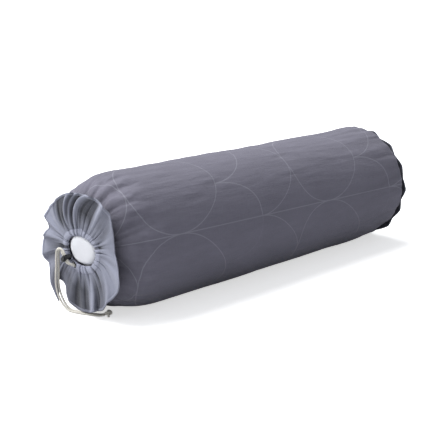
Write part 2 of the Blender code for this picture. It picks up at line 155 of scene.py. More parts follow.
def makeLineGroup():
    # a row of touching circles, each second one opened to its right half with two crossing arcs,
    # mirrored on both sides of a straight line; arcs are fainter in every other row
    group, ins, outs = nodeGroup(
        "lineFigure",
        {"Cloth": ("Vector", None), "Radius": ("Float", lineFigure["radius"]), "Start": ("Float", lineFigure["start"]),
         "Width": ("Float", lineFigure["lineWidth"])},
        {"Line": ("Float", None)},
    )
    calc = partial(mathNode, group)
    place = addNode(group, "ShaderNodeSeparateXYZ", {0: ins["Cloth"]}).outputs
    radius = ins["Radius"]
    scaled = partial(calc, "MULTIPLY", radius)
    along = calc("ADD", calc("SUBTRACT", place[0], ins["Start"]), radius)
    along = calc("SUBTRACT", calc("FLOORED_MODULO", along, scaled(4.0)), radius)
    across = calc("PINGPONG", place[1], scaled(2.0))

    def ring(centreAlong, centreAcross, wide, tall):
        dx = calc("MULTIPLY", calc("SUBTRACT", along, scaled(centreAlong)), tall / wide)
        dy = calc("SUBTRACT", across, scaled(centreAcross))
        far = calc("SQRT", calc("ADD", calc("MULTIPLY", dx, dx), calc("MULTIPLY", dy, dy)))
        return calc("ABSOLUTE", calc("SUBTRACT", far, scaled(tall)))

    def past(distance, limit):
        # far away wherever the drawing has not started yet
        return calc("ADD", distance, calc("LESS_THAN", along, scaled(limit)))

    def drawn(nearest, *others):
        for other in others:
            nearest = calc("MINIMUM", nearest, other)
        edge = {"Value": nearest, "From Min": calc("MULTIPLY", ins["Width"], 0.25),
                "From Max": calc("MULTIPLY", ins["Width"], 0.75), "To Min": 1.0, "To Max": 0.0}
        return addNode(group, "ShaderNodeMapRange", edge, interpolation_type="SMOOTHSTEP").outputs[0]

    circles = drawn(ring(0.0, 1.0, 1.0, 1.0), past(ring(2.0, 1.0, 1.0, 1.0), 2.0), across)
    small, large = ring(1.0, 0.0, *lineFigure["smallArc"]), ring(1.0, 2.0, *lineFigure["largeArc"])
    arcs = drawn(past(small, 1.0), past(large, 1.0))
    row = calc("FLOORED_MODULO", calc("DIVIDE", place[1], scaled(4.0)), 1.0)
    strength = calc("MULTIPLY_ADD", calc("LESS_THAN", row, 0.5), 1 - lineFigure["faint"], lineFigure["faint"])
    setInputs(group, outs, {"Line": calc("MAXIMUM", circles, calc("MULTIPLY", arcs, strength))})
    return group


weaveGroup = makeWeaveGroup()
wearAndShadeGroup = makeWearAndShadeGroup()
lineGroup = makeLineGroup()


def newMaterial(name, roughness, metallic=0.0):
    made = bpy.data.materials.new(name)
    made.use_nodes = True
    shader = made.node_tree.nodes["Principled BSDF"]
    setInputs(made.node_tree, shader, {"Roughness": roughness, "Metallic": metallic})
    return made, made.node_tree, shader


def raised(tree, height, strength, depth=0.0003):
    return addNode(tree, "ShaderNodeBump", {"Strength": strength, "Distance": depth, "Height": height}).outputs[0]


def clothMaterial(name, look):
    made, tree, shader = newMaterial(name, look["roughness"])
    calc, group = partial(mathNode, tree), partial(addNode, tree, "ShaderNodeGroup")
    uv = addNode(tree, "ShaderNodeUVMap", uv_map="cloth").outputs[0]
    place = addNode(tree, "ShaderNodeTexCoord").outputs["Object"]
    # the fold attribute carries painted shade; the wear group's tone is the random handling tone less that painted
    # shade
    fold = addNode(tree, "ShaderNodeAttribute", attribute_name="fold").outputs["Fac"]
    weave = {"Cloth": uv, "Thread": look["thread"], "Slub": look["slub"]}
    weave = group(weave, node_tree=weaveGroup).outputs
    wear = {"Position": place, "Fold": fold, "Amount": look["wear"], "Fold Shade": look["foldShade"]}
    wear = group(wear, node_tree=wearAndShadeGroup).outputs
    tone = calc("ADD", calc("ADD", calc("MULTIPLY", weave["Tone"], look["yarnTone"]), wear["Tone"]), 1.0)
    colour = look["colour"]
    if "line" in look:
        line = group({"Cloth": uv}, node_tree=lineGroup).outputs["Line"]
        colour = blendColour(tree, line, colour, look["line"])
    shaded = addNode(tree, "ShaderNodeVectorMath", {0: colour, "Scale": tone}, operation="SCALE").outputs[0]
    height = calc("ADD", weave["Height"], calc("MULTIPLY", wear["Height"], look["crease"]))
    setInputs(tree, shader, {"Base Color": shaded, "Sheen Weight": look["sheen"], "Sheen Roughness": 0.5,
                             "Specular IOR Level": 0.25, "Normal": raised(tree, height, look["bump"])})
    return made


wovenLook = {"thread": 0.0007, "slub": 0.5, "bump": 0.5}
threadLook = {"roughness": 0.6, "sheen": 0.1, "thread": 0.0003, "slub": 0.4, "wear": 0.05, "foldShade": 0.0,
              "yarnTone": 0.2, "crease": 1.0, "bump": 0.3}

clothLooks = {
    "coverCloth": {"colour": (0.155, 0.15, 0.192), "line": (0.22, 0.218, 0.262), "roughness": 0.82, "sheen": 0.12,
                   "wear": 0.2, "foldShade": 0.3, "yarnTone": 0.35, "crease": 13.0, **wovenLook},
    "frillCloth": {"colour": (0.295, 0.308, 0.385), "roughness": 0.85, "sheen": 0.12, "wear": 0.16,
                   "foldShade": 0.85, "yarnTone": 0.3, "crease": 5.0, **wovenLook},
    # the frill's reverse side: the frill cloth darkened as painted shade
    "frillReverseShaded": {"colour": (0.1, 0.103, 0.126), "roughness": 0.9, "sheen": 0.05, "wear": 0.12,
                     "foldShade": 0.5, "yarnTone": 0.3, "crease": 2.0, **wovenLook},
    "casingCloth": {"colour": (0.66, 0.67, 0.705), "roughness": 0.9, "sheen": 0.05, "thread": 0.0006, "slub": 0.4,
                    "wear": 0.06, "foldShade": 0.2, "yarnTone": 0.12, "crease": 1.5, "bump": 0.4},
    "fibreFill": {"colour": (0.84, 0.84, 0.83), "roughness": 1.0, "sheen": 0.1, "thread": 0.0011, "slub": 1.6,
                  "wear": 0.15, "foldShade": 0.2, "yarnTone": 0.3, "crease": 5.0, "bump": 0.9},
    "threadGrey": {"colour": (0.25, 0.255, 0.32), **threadLook},
    "threadWhite": {"colour": (0.7, 0.71, 0.72), **threadLook},
}
materials = {name: clothMaterial(name, look) for name, look in clothLooks.items()}

# shade is the colour of soiled patches and of the painted shade in the grooves between strands
cordLook = {"colour": (0.8, 0.78, 0.72), "shade": (0.42, 0.39, 0.33), "fibre": 2600.0, "soil": 90.0}


def cordMaterial():
    made, tree, shader = newMaterial("cottonCord", 0.9)
    place = addNode(tree, "ShaderNodeTexCoord").outputs["Object"]
    fibre = noiseNode(tree, place, cordLook["fibre"], 3.0)
    soil = mathNode(tree, "MULTIPLY", noiseNode(tree, place, cordLook["soil"]), 0.3)
    # darker where soiled and, as painted shade, in the grooves between strands
    groove = addNode(tree, "ShaderNodeAttribute", attribute_name="fold").outputs["Fac"]
    soilAndGrooveShade = mathNode(tree, "ADD", groove, soil, clamp=True)
    colour = blendColour(tree, soilAndGrooveShade, cordLook["colour"], cordLook["shade"])
    setInputs(tree, shader, {"Base Color": colour, "Sheen Weight": 0.25, "Normal": raised(tree, fibre, 0.6)})
    return made


def hardMaterial(name, colour, roughness, metallic, grain):
    made, tree, shader = newMaterial(name, roughness, metallic)
    speck = noiseNode(tree, addNode(tree, "ShaderNodeTexCoord").outputs["Object"], grain, 6.0)
    worn = blendColour(tree, mathNode(tree, "MULTIPLY", speck, 0.5), colour, tuple(c * 1.8 for c in colour))
    spread = {"Value": speck, "To Min": roughness * 0.8, "To Max": roughness * 1.4}
    setInputs(tree, shader, {"Base Color": worn, "Normal": raised(tree, speck, 0.12, 0.0001),
                             "Roughness": addNode(tree, "ShaderNodeMapRange", spread).outputs[0]})
    return made


materials["cottonCord"] = cordMaterial()
materials["lockPlastic"] = hardMaterial("lockPlastic", (0.005, 0.005, 0.006), 0.1, 0.0, 1400.0)
materials["eyeletPlating"] = hardMaterial("eyeletPlating", (0.035, 0.035, 0.04), 0.25, 1.0, 900.0)
materials["springSteel"] = hardMaterial("springSteel", (0.5, 0.5, 0.52), 0.3, 1.0, 1500.0)
print("materials ready:", len(materials))

def addPiece(name, data):
    piece = bpy.data.objects.new(name, data)
    bpy.context.scene.collection.objects.link(piece)
    return piece


def gridPiece(name, points, cloth, fold=None, material="frillCloth"):
    # points: rows x columns x 3, closed around; cloth: rows x (columns + 1) x 2, in metres of cloth
    rows, columns = points.shape[:2]
    faces, corners = [], []
    for i in range(rows - 1):
        for j in range(columns):
            k = (j + 1) % columns
            faces.append((i * columns + j, i * columns + k, (i + 1) * columns + k, (i + 1) * columns + j))
            corners += (cloth[i, j], cloth[i, j + 1], cloth[i + 1, j + 1], cloth[i + 1, j])
    mesh = bpy.data.meshes.new(name)
    mesh.from_pydata(points.reshape(-1, 3).tolist(), [], faces)
    layer = mesh.uv_layers.new(name="cloth")
    layer.data.foreach_set("uv", np.array(corners, np.float32).reshape(-1))
    shade = mesh.attributes.new("fold", "FLOAT", "POINT")
    values = np.zeros(rows * columns) if fold is None else np.clip(fold, 0, 1)
    shade.data.foreach_set("value", values.astype(np.float32).reshape(-1))
    mesh.shade_smooth()
    mesh.materials.append(materials[material])
    return addPiece(name, mesh)


def reshape(mesh, change):
    bm = bmesh.new()
    bm.from_mesh(mesh)
    change(bm)
    bm.to_mesh(mesh)
    bm.free()


def weld(bm):
    bmesh.ops.remove_doubles(bm, verts=bm.verts, dist=1e-6)


def flipTo(piece, outwards):
    # turn the faces if the middle one points against the given way
    mesh = piece.data
    mesh.update()
    face = mesh.polygons[len(mesh.polygons) // 2]
    if face.normal.dot(outwards(face.center)) < 0:
        mesh.flip_normals()


def thicken(piece, wall, offset=0.0, reverse=None):
    solid = piece.modifiers.new("wall", "SOLIDIFY")
    solid.thickness = wall
    solid.offset = offset
    solid.use_even_offset = False
    if reverse:
        piece.data.materials.append(materials[reverse])
        solid.material_offset = 1
    return piece


def spotsOf(mesh):
    spots = np.empty(len(mesh.vertices) * 3)
    mesh.vertices.foreach_get("co", spots)
    return spots.reshape(-1, 3)


settleSteps = 20


def settle(piece, paintedFoldShade, sizes):
    # let the cloth find its own small wrinkles under the filling's pressure, then keep that shape
    mesh = piece.data
    trial = addPiece(piece.name + "Trial", mesh.copy())
    trial.vertex_groups.new(name="pins").add(paintedFoldShade, 1.0, "REPLACE")
    cloth = trial.modifiers.new("cloth", "CLOTH")
    settings = {
        "quality": sizes["quality"], "mass": 0.2, "tension_stiffness": sizes["tension"],
        "compression_stiffness": sizes["tension"], "shear_stiffness": sizes["tension"] / 3,
        "bending_stiffness": sizes["bending"], "use_pressure": True, "uniform_pressure_force": sizes["pressure"],
        "shrink_min": sizes["shrink"], "vertex_group_mass": "pins" if paintedFoldShade else "",
    }
    for key, value in settings.items():
        setattr(cloth.settings, key, value)
    cloth.settings.effector_weights.gravity = 0
    cloth.collision_settings.use_collision = False
    cloth.point_cache.frame_start = 1
    cloth.point_cache.frame_end = settleSteps
    for step in range(1, settleSteps + 1):
        bpy.context.scene.frame_set(step)
    before = spotsOf(mesh)
    move = spotsOf(trial.evaluated_get(bpy.context.evaluated_depsgraph_get()).to_mesh()) - before
    far = np.linalg.norm(move, axis=1, keepdims=True)
    far[far == 0] = 1
    limit = sizes["limit"]
    move = move / far * limit * np.tanh(far / limit)
    print(piece.name, "settled by up to", round(float(np.linalg.norm(move, axis=1).max()) * 1000, 1), "mm")
    now = before + move
    now[:, 2] = np.maximum(now[:, 2], np.minimum(before[:, 2], sizes["floor"]))
    mesh.vertices.foreach_set("co", now.reshape(-1))
    mesh.update()
    trial.modifiers.clear()
    bpy.data.objects.remove(trial)
    bpy.context.scene.frame_set(1)


def ringNoise(angle, reach, level, seed):
    return noise.noise(Vector((cos(angle) * reach, sin(angle) * reach, level + seed * 3.7)))


def gatherWave(angle, reach, level, seed):
    # narrow dark grooves between fuller rolls, from -1 in a groove to about 0.6
    value = ringNoise(angle, reach, level, seed)
    return 0.6 - 1.6 * max(0.0, 1.0 - abs(value) * 4.5) ** 1.5


def smoothRing(values, width):
    kernel = np.exp(-0.5 * (np.arange(-3 * width, 3 * width + 1) / width) ** 2)
    kernel /= kernel.sum()
    padded = np.concatenate([values[-3 * width:], values, values[:3 * width]])
    return np.convolve(padded, kernel, mode="valid")


# the cord's route is the part's own: out, along and rise from the eyelet, then out, along and share of the fall
cordSizes = {"diameter": 0.004, "pitch": 0.0048, "floorGap": 0.0003, "twist": 0.0085, "lobe": 0.16}
eyeletAngle = radians(-58)
tailRun = (
    ((-0.0022, 0.0000, 0.0000), (0, 0.848, 0.530)), ((0.0018, 0.0000, 0.0000), (0, 0.906, 0.423)),
    ((0.0060, 0.0009, 0.0011), (0, 1, 0)), ((0.0091, 0.0030, 0.0035), (0, 0.927, -0.375)),
    ((0.0106, 0.0055, 0.0065), (0, 0.766, -0.643)), ((0.0106, 0.0097, 0.0116), (0, 0.766, -0.643)),
    ((0.0106, 0.0139, 0.0166), (0, 0.766, -0.643)), ((0.0106, 0.0180, 0.0214), (0, 0.766, -0.643)),
)
tailFall = (
    ((0.0106, 0.0214, 1.023), (0.574, 0.280, -0.770)), ((0.0106, 0.0255, 1.027), (0.940, -0.060, -0.337)),
    ((0.0106, 0.0292, 1.010), (1, 0, 0)), ((0.0106, 0.0315, 0.981), (1, 0, 0)), ((0.0106, 0.0332, 0.910), (1, 0, 0)),
    ((0.0106, 0.0342, 0.800), (1, -0.1, 0)), ((0.0106, 0.0352, 0.700), (1, -0.15, 0)),
    ((0.0106, 0.0362, 0.610), (1, -0.2, 0)), ((0.0105, 0.0374, 0.520), (1, -0.25, 0)),
    ((0.0102, 0.0384, 0.430), (1, -0.3, 0)), ((0.0097, 0.0382, 0.340), (1, -0.3, 0)),
    ((0.0091, 0.0360, 0.250), (1, -0.3, 0.1)), ((0.0084, 0.0314, 0.160), (1, -0.25, 0.15)),
    ((0.0076, 0.0245, 0.077), (1, -0.15, 0.1)), ((0.0066, 0.0152, 0.020), (1, 0, 0)),
    ((0.0050, 0.0045, 0.000), (1, 0.1, 0)), ((0.0021, -0.0060, 0.000), (0.97, 0.25, 0)),
    ((-0.0019, -0.0160, 0.000), (0.93, 0.4, 0)), ((-0.0066, -0.0260, 0.000), (0.9, 0.45, 0)),
    ((-0.0117, -0.0360, 0.000), (0.9, 0.45, 0)), ((-0.0166, -0.0455, 0.006), (0.9, 0.4, 0)),
    ((-0.0208, -0.0525, 0.026), (0.92, 0.38, 0)),
)


def tailLine():
    front = nearEnd["front"]
    eyeletY = channelRadius * cos(eyeletAngle)
    eyeletZ = axisHeight + channelRadius * sin(eyeletAngle)
    floorLevel = cordSizes["diameter"] / 2 + cordSizes["floorGap"]
    runEnd = eyeletZ + tailRun[-1][0][2]
    for (out, along, rise), side in tailRun:
        yield Vector((-front - out, eyeletY + along, eyeletZ + rise)), Vector(side)
    for (out, along, share), side in tailFall:
        yield Vector((-front - out, eyeletY + along, floorLevel + (runEnd - floorLevel) * share)), Vector(side)


def smoothLine(points, pieces):
    knots = [Vector(point) for point in points]
    knots = [2 * knots[0] - knots[1], *knots, 2 * knots[-1] - knots[-2]]
    line = []
    for a, b, c, d in zip(knots, knots[1:], knots[2:], knots[3:]):
        for i in range(pieces):
            t = i / pieces
            bent = (2 * a - 5 * b + 4 * c - d) * t**2 + (3 * b - a - 3 * c + d) * t**3
            line.append(0.5 * (2 * b + (c - a) * t + bent))
    return [*line, knots[-2]]

def lineGroupOf(name, inputs):
    geometry = {"Geometry": ("Geometry", None)}
    return nodeGroup(name, {**geometry, **inputs, "Material": ("Material", None)}, geometry, "GeometryNodeTree")


def dressed(tree, geometry, material, outs):
    real = addNode(tree, "GeometryNodeRealizeInstances", {0: geometry}).outputs[0]
    smooth = addNode(tree, "GeometryNodeSetShadeSmooth", {"Geometry": real}).outputs[0]
    dress = addNode(tree, "GeometryNodeSetMaterial", {"Geometry": smooth, "Material": material}).outputs[0]
    setInputs(tree, outs, {0: dress})
    return tree


def makeTwistTree():
    # a lobed section that turns as it follows its line: three strands laid together
    tree, ins, outs = lineGroupOf(
        "layCord", {"Diameter": ("Float", 0.004), "Lay": ("Float", 0.0085), "Lobe": ("Float", 0.16)})
    calc, add = partial(mathNode, tree), partial(addNode, tree)
    circle = add("GeometryNodeCurvePrimitiveCircle", {"Resolution": 18, "Radius": 1.0}).outputs[0]
    place = add("GeometryNodeInputPosition").outputs[0]
    split = add("ShaderNodeSeparateXYZ", {0: place}).outputs
    lobes = calc("ABSOLUTE", calc("COSINE", calc("MULTIPLY", calc("ARCTAN2", split[1], split[0]), 1.5)))
    size = calc("ADD", calc("SUBTRACT", 1.0, ins["Lobe"]), calc("MULTIPLY", lobes, ins["Lobe"]))
    size = calc("MULTIPLY", size, calc("MULTIPLY", ins["Diameter"], 0.5))
    scaled = add("ShaderNodeVectorMath", {0: place, "Scale": size}, operation="SCALE").outputs[0]
    shape = add("GeometryNodeSetPosition", {"Geometry": circle, "Position": scaled}).outputs[0]
    # painted shade in the grooves between the strands, stored as the fold attribute
    depth = calc("MULTIPLY", calc("SUBTRACT", 1.0, lobes), 0.6)
    groove = add("GeometryNodeStoreNamedAttribute", {"Name": "fold", "Geometry": shape, "Value": depth},
                 data_type="FLOAT", domain="POINT").outputs[0]
    line = add("GeometryNodeResampleCurve", {"Length": 0.0011, "Curve": ins["Geometry"]}, mode="LENGTH").outputs[0]
    run = add("GeometryNodeSplineParameter").outputs["Length"]
    turned = calc("DIVIDE", calc("MULTIPLY", run, tau), ins["Lay"])
    tilt = add("GeometryNodeSetCurveTilt", {"Curve": line, "Tilt": turned}).outputs[0]
    sweep = add("GeometryNodeCurveToMesh", {"Fill Caps": True, "Curve": tilt, "Profile Curve": groove}).outputs[0]
    return dressed(tree, sweep, ins["Material"], outs)


def makeStitchTree():
    # short threads lying one after the other along a line
    tree, ins, outs = lineGroupOf(
        "sewStitches", {"Pitch": ("Float", 0.0032), "Length": ("Float", 0.0024), "Thread": ("Float", 0.0005)})
    add = partial(addNode, tree)
    spacing = {"Curve": ins["Geometry"], "Length": ins["Pitch"]}
    line = add("GeometryNodeResampleCurve", spacing, mode="LENGTH").outputs[0]
    thread = add("GeometryNodeMeshUVSphere", {"Segments": 6, "Rings": 4, "Radius": 0.5}).outputs[0]
    tangent = add("GeometryNodeInputTangent").outputs[0]
    along = add("FunctionNodeAlignRotationToVector", {"Vector": tangent}, axis="Z").outputs[0]
    size = add("ShaderNodeCombineXYZ", {0: ins["Thread"], 1: ins["Thread"], 2: ins["Length"]}).outputs[0]
    sew = add("GeometryNodeInstanceOnPoints", {"Points": line, "Instance": thread, "Rotation": along, "Scale": size})
    return dressed(tree, sew.outputs[0], ins["Material"], outs)


def follow(name, tree, lines, closed=False, **values):
    # run a node tree along one or more lines and keep the result as a plain mesh
    curve = bpy.data.curves.new(name, "CURVE")
    curve.dimensions = "3D"
    for points in lines:
        spline = curve.splines.new("POLY")
        spline.points.add(len(points) - 1)
        for spot, point in zip(spline.points, points):
            spot.co = (*point, 1.0)
        spline.use_cyclic_u = closed
    holder = addPiece(name + "Line", curve)
    modifier = holder.modifiers.new("follow", "NODES")
    modifier.node_group = tree
    for item in tree.interface.items_tree:
        if item.in_out == "INPUT" and item.name in values:
            modifier[item.identifier] = values[item.name]
    bpy.context.view_layer.update()
    evaluated = holder.evaluated_get(bpy.context.evaluated_depsgraph_get())
    mesh = bpy.data.meshes.new_from_object(evaluated)
    mesh.name = name
    holder.modifiers.clear()
    bpy.data.objects.remove(holder)
    return addPiece(name, mesh)


twistTree = makeTwistTree()
stitchTree = makeStitchTree()


def twistedCord(name, points, closed=False):
    return follow(
        name, twistTree, [points], closed, Diameter=cordSizes["diameter"], Lay=cordSizes["twist"],
        Lobe=cordSizes["lobe"], Material=materials["cottonCord"],
    )


def stitches(name, lines, material="threadGrey", closed=True, pitch=0.0032):
    return follow(name, stitchTree, lines, closed, Pitch=pitch, Length=pitch * 0.75, Thread=0.0005,
                  Material=materials[material])


knotSizes = {"spread": 0.0037, "tall": 0.0030, "spot": (-0.0234, -0.0584), "radius": 0.0075}


def makeCords():
    tails = []
    for name, side in (("cordTailLeft", 1), ("cordTailRight", -1)):
        line = smoothLine([middle + side * cordSizes["pitch"] / 2 * way.normalized() for middle, way in tailLine()], 4)
        tails.append((twistedCord(name, line), line))
    eyeletY = channelRadius * cos(eyeletAngle)
    centre = Vector((-nearEnd["front"] - knotSizes["spot"][0], eyeletY + knotSizes["spot"][1],
                     knotSizes["radius"] + cordSizes["floorGap"]))
    wide, tall = knotSizes["spread"], knotSizes["tall"]
    loop = []
    for i in range(72):
        a = tau * i / 72
        x, y, z = sin(a) + 2 * sin(2 * a), cos(a) - 2 * cos(2 * a), -sin(3 * a)
        loop.append(centre + Vector((x * wide / 2.2, z * tall * 0.9, y * wide / 2.2)))
    knot = twistedCord("cordKnot", loop, closed=True)
    return tails, knot


tails, cordKnot = makeCords()
print("cords ready")


coverSizes = {
    "around": 260, "bodySteps": 112, "shoulderSteps": 30, "wall": 0.0008, "barrel": 0.0012,
    "hemShade": 0.45, "hemEdge": 0.101, "hemSoft": 0.018,  # the shade that the near frill keeps on the cover
    "lineAngle": 169.0, "lineTwist": 8.0, "drawn": 0.022, "drawnAngle": 172.0, "drawnSpread": 30.0,
    "rimGather": 0.0035, "rimReach": 0.03, "foldGather": 0.0042, "foldReach": 0.088, "farFoldReach": 0.13,
    "taper": 0.1, "taperReach": 0.13, "ripple": 0.0012,
}


def slimmed(x, angle):
    # both ends draw in underneath, where the gathered cloth pulls the cover round
    reach = max(0.0, 1 - (nearEnd["face"] - abs(x)) / coverSizes["taperReach"])
    return 1 - coverSizes["taper"] * reach**2 * max(0.0, 0.2 - sin(angle))


def shoulderSpot(end, angle, inset):
    radius = (bodyRadius - inset) * sin(angle) ** end["power"]
    out = end["face"] - end["shoulder"] + (end["shoulder"] - inset) * max(cos(angle), 0) ** end["power"]
    return out, radius


def sleeveLine(rimRadius, shoulderSteps, bodySteps, inset=0.0):
    # distance along X and radius for each ring, from the near rim to the far one
    parts = []
    for end in (nearEnd, farEnd):
        first = asin((rimRadius / bodyRadius) ** (1 / end["power"]))
        spots = [shoulderSpot(end, first + (pi / 2 - first) * i / shoulderSteps, inset) for i in range(shoulderSteps)]
        parts.append([(end["side"] * out, radius) for out, radius in spots])
    start, stop = nearEnd["shoulder"] - nearEnd["face"], farEnd["face"] - farEnd["shoulder"]
    body = [(start + (stop - start) * i / bodySteps, bodyRadius - inset) for i in range(bodySteps + 1)]
    return parts[0] + body + parts[1][::-1]


def noiseAround(angle, wide, along, shift=0.0):
    return noise.noise(Vector((along, cos(angle) * wide, sin(angle) * wide + shift)))


def makeCover():
    line = sleeveLine(channelRadius, coverSizes["shoulderSteps"], coverSizes["bodySteps"])
    steps = [np.hypot(x1 - x0, r1 - r0) for (x0, r0), (x1, r1) in zip(line, line[1:])]
    lengths = np.concatenate([[0], np.cumsum(steps)])  # from the near rim, over the cloth
    total = lengths[-1]
    count = coverSizes["around"]
    points = np.zeros((len(line), count, 3))
    cloth = np.zeros((len(line), count + 1, 2))
    fold = np.zeros((len(line), count))
    lineAngle = radians(coverSizes["lineAngle"])
    sleeveStart = coverSizes["shoulderSteps"]
    turn = tau * np.arange(count + 1) / count
    drawn = np.exp(-((turn - radians(coverSizes["drawnAngle"])) / radians(coverSizes["drawnSpread"])) ** 2)
    for i, (x, radius) in enumerate(line):
        before, after = line[max(i - 1, 0)], line[min(i + 1, len(line) - 1)]
        slope = Vector((after[0] - before[0], after[1] - before[1])).normalized()
        normalX, normalR = -slope.y, slope.x
        fromNear, fromFar = lengths[i], total - lengths[i]
        reach = min(fromNear, fromFar)
        seed = nearEnd["seed"] if fromNear < fromFar else farEnd["seed"]
        swell = -coverSizes["barrel"] * (2 * lengths[i] / total - 1) ** 4
        twist = radians(coverSizes["lineTwist"]) * (x / (2 * nearEnd["face"]))
        rim = coverSizes["rimGather"] * np.exp(-reach / coverSizes["rimReach"])
        foldReach = coverSizes["foldReach"] if fromNear < fromFar else coverSizes["farFoldReach"]
        folds = coverSizes["foldGather"] * np.exp(-(reach / foldReach) ** 1.6) * min(1.0, reach / 0.03 + 0.2)
        for j in range(count):
            angle = tau * j / count  # from +Y over the top
            fine = gatherWave(angle, 6.5, reach * 6, seed)
            broad = gatherWave(angle, 2.6, reach * 4 + 5, seed)
            mid = gatherWave(angle + 0.4, 4.2, reach * 7 + 9, seed)
            ripple = noiseAround(angle, 2.2, x * 7) * 1.6
            streak = noiseAround(angle, 9, x * 9 + 4) * np.exp(-reach / 0.4) + 0.5 * noiseAround(angle, 12, x * 24, 5)
            upper = 0.35 + 0.65 * max(0.0, sin(angle))  # tension lines show more on top
            moved = (rim * (fine + 0.3) + folds * (0.55 * broad + 0.45 * mid + 0.4)
                     + coverSizes["ripple"] * (ripple + 2.0 * streak * upper) + swell)
            size = (radius + moved * normalR) * slimmed(x, angle)
            points[i, j] = (x + moved * normalX, size * cos(angle), max(axisHeight + size * sin(angle), 0.0004))
            # painted shade in the gather grooves, and a painted shadow of the near frill on the cover beside and below
            # it
            beside = min(1.0, max(0.0, (0.92 - sin(angle)) / 0.4)) * (cos(angle) < 0.3)
            frillShadow = beside * min(1.0, max(0.0, (coverSizes["hemEdge"] - fromNear) / coverSizes["hemSoft"]))
            fold[i, j] = max(0.0, -(fine * rim + folds * broad) / 0.005) + coverSizes["hemShade"] * frillShadow
        cloth[i, :, 0] = lengths[i] - lengths[sleeveStart] + line[sleeveStart][0] + coverSizes["drawn"] * drawn
        cloth[i, :, 1] = (lineAngle + twist - turn) * 8 * lineFigure["radius"] / tau  # two whole figures around
    piece = gridPiece("coverBody", points, cloth, fold, "coverCloth")
    flipTo(piece, lambda c: Vector((0, c.y, c.z - axisHeight)))
    return thicken(piece, coverSizes["wall"], -1.0)


def makeSleeveSeam():
    # the sleeve's lengthwise seam, sewn at the back where the drawing meets itself
    back = list(coverBody.data.vertices)[::coverSizes["around"]]
    line = [vert.co + Vector((0, 0.0002, 0)) for vert in back[coverSizes["shoulderSteps"] - 8:-10]]
    return stitches("sleeveSeam", [line], closed=False)


coverCloth = {"quality": 4, "tension": 12.0, "bending": 0.01, "pressure": 3.0, "shrink": -0.02, "limit": 0.003,
              "floor": 0.0004}
coverBody = makeCover()
rimRows = 6 * coverSizes["around"]
coverCount = len(coverBody.data.vertices)
settle(coverBody, [*range(rimRows), *range(coverCount - rimRows, coverCount)], coverCloth)
sleeveSeam = makeSleeveSeam()
print("cover ready:", len(coverBody.data.polygons), "cells")


# each row: angle at the mouth and at the hem (0 towards -Y, 90 up, in degrees), hem radius and how far the fold
# stands out (in millimetres), and how much shade its panel holds
nearFolds = (
    (3, 0, 101, 2, 0.0), (10, 9, 97, -2, 0.05), (18, 20, 100, 0, 0.1), (25, 31, 108, 5, 0.0), (30, 38, 115, 5, 0.15),
    (35, 43, 118, 4, 0.5), (45, 47, 114, 8, 0.5), (48, 50, 113, 16, 0.0), (52, 53, 113, 13, 0.0),
    (62, 56, 111, 4, 0.95), (80, 62, 109, 3, 0.95), (96, 66, 105, 5, 0.95), (106, 70, 103, 15, 0.0),
    (109, 72, 103, 15, 0.0), (112, 75, 102, 8, 0.9), (116, 80, 99, 5, 0.95), (121, 86, 98, 7, 0.9),
    (124, 89, 97, 11, 0.1), (127, 92, 97, 8, 0.75), (130, 96, 96, 9, 0.9), (133, 99, 96, 18, 0.0),
    (136, 102, 96, 16, 0.0), (139, 107, 96, 8, 0.95), (145, 118, 97, 6, 0.95), (150, 128, 98, 5, 0.85),
    (153, 133, 98, 2, 0.2), (156, 137, 98, 6, 0.0), (160, 148, 104, -3, 0.0), (163, 158, 108, 6, 0.0),
    (166, 162, 96, -4, 0.15), (168, 167, 91, -5, 0.05), (172, 171, 97, 2, 0.0), (176, 177, 104, 7, 0.0),
    (178, 180, 106, -3, 0.1), (183, 186, 111, 0, 0.0), (190, 196, 115, 5, 0.0), (193, 199, 116, -4, 0.15),
    (199, 204, 103, -3, 0.1), (204, 210, 104, 1, 0.2), (208, 222, 118, 7, 0.45), (211, 233, 124, 5, 0.6),
    (213, 238, 128, 3, 0.7), (214, 231, 110, -2, 0.8), (216, 224, 94, -5, 0.7), (224, 231, 87, -6, 0.6),
    (232, 238, 88, -4, 0.5), (239, 243, 98, 1, 0.8), (246, 250, 106, 4, 0.7), (256, 261, 107, -3, 0.95),
    (270, 272, 106, 3, 0.85), (285, 281, 106, -1, 0.95), (296, 286, 104, 9, 0.0), (303, 290, 104, 8, 0.1),
    (308, 294, 104, -3, 0.9), (318, 303, 107, 2, 0.7), (330, 309, 104, 3, 0.55), (338, 314, 102, 10, 0.0),
    (346, 322, 106, 4, 0.15), (351, 334, 111, 1, 0.05), (355, 344, 111, 7, 0.0), (358, 352, 105, 3, 0.0),
)
mouthOutline = ((0, 43), (30, 36), (60, 27), (90, 24), (120, 26), (138, 30), (152, 35), (168, 38), (186, 39),
                (204, 38.5), (220, 36), (236, 31), (270, 27.5), (300, 29.5), (330, 37))  # angle and radius, as above
frillSizes = {"columns": 720, "rows": 32, "wall": 0.0008, "hemWidth": 0.006, "hemWall": 0.0017, "ringWidth": 0.0118,
              "gather": 0.0034, "gatherReach": 0.26, "soft": 0.0014, "crisp": 2, "level": 4.7,
              "lean": (1.035, 0.396), "stringGap": 11.0, "farEyelet": 238.0, "section": 20, "swell": 0.0018}


def farFolds():
    rows = []
    count = 28
    for i in range(count):
        angle = 360 * i / count
        jitter = 3.5 * noise.noise(Vector((i * 1.7, 4.2, 0)))
        high = i % 2 == 0
        radius = (115 if high else 111) + 4 * noise.noise(Vector((i * 2.3, 9.1, 0)))
        rows.append((angle, angle + jitter, radius, 0 if high else -6, 0.3 if high else 0.7))
    return rows


